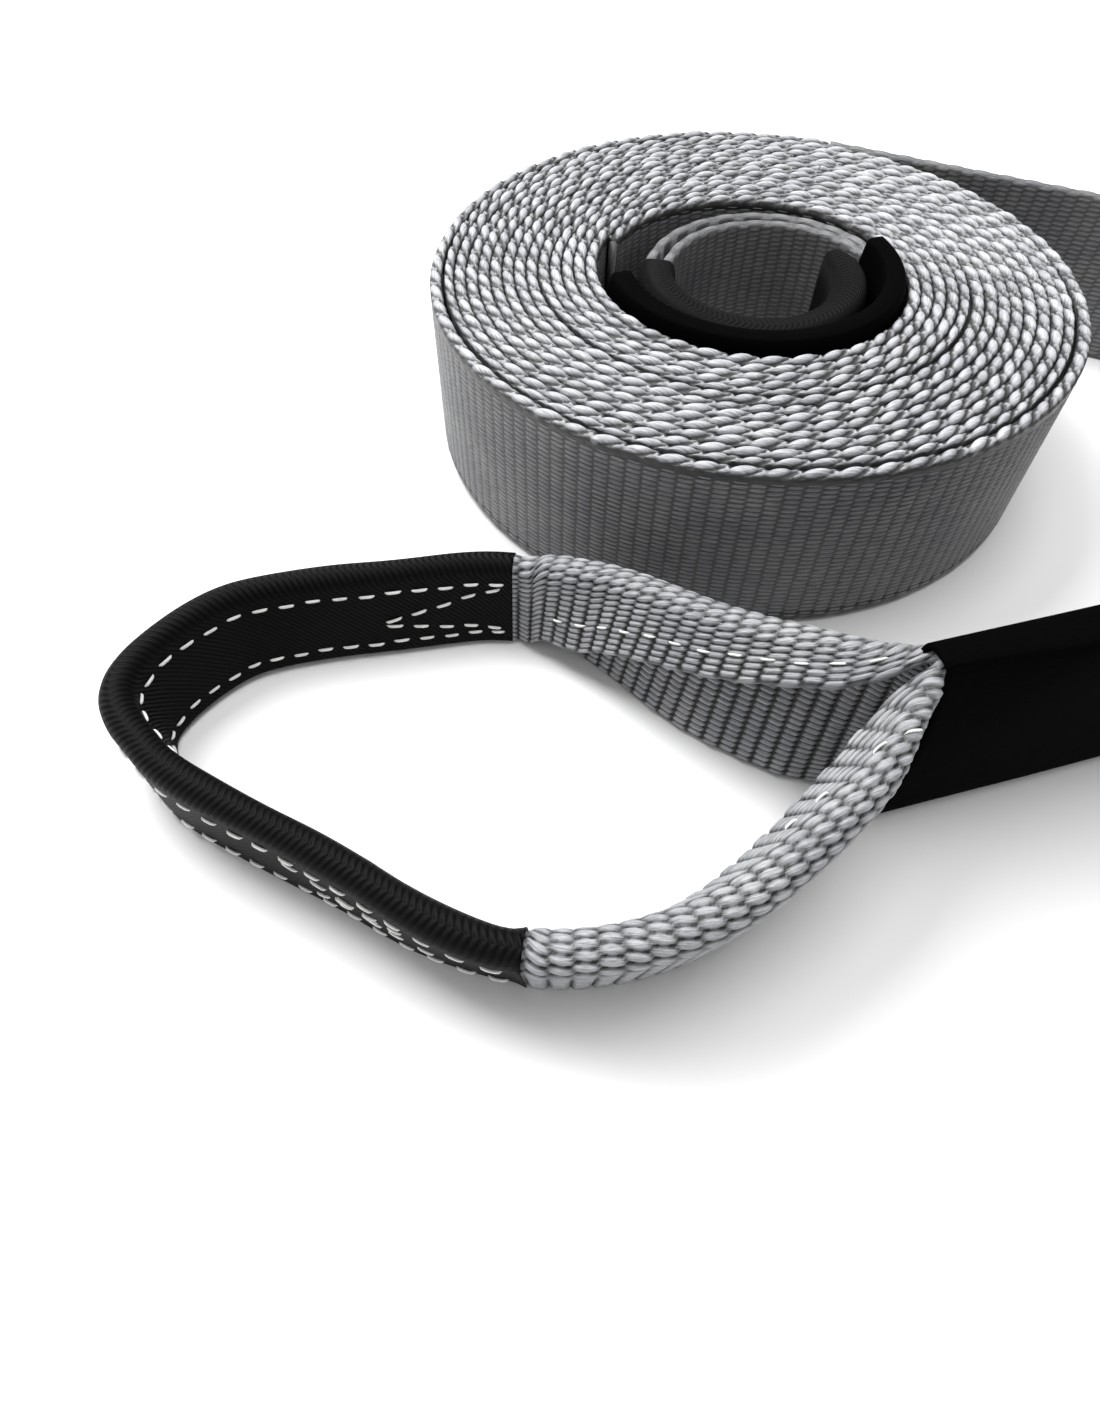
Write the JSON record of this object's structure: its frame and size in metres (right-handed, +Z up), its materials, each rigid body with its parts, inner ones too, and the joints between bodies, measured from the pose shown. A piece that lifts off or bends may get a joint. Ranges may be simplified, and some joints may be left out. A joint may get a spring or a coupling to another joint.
{
  "type": "tow strap",
  "caption": "Heavy woven tow strap wound in a roll on its side, with a padded sewn eye at each end and a sleeved joint behind each eye.",
  "frame": {"origin": "on the floor under the middle of the whole part's box", "axes": "+Z up along the roll's axis, which stands upright; +X from the outer eye's tip towards the tail's bend, along the longest side; -Y is the side where the outer eye lies in front of the roll"},
  "size_m": [0.3614, 0.2844, 0.0526],
  "materials": {
    "grey_webbing": "heavy woven polyester webbing, mid grey, slight sheen",
    "pad_black": "black herringbone webbing with white stitching",
    "sleeve_black": "smooth matt black shrunk-on sleeve"
  },
  "bodies": {
    "root": {"strap_webbing": "grey_webbing", "outer_eye_pad": "pad_black", "outer_joint_sleeve": "sleeve_black", "inner_eye_pad": "pad_black", "inner_joint_sleeve": "sleeve_black"}
  },
  "joints": []
}
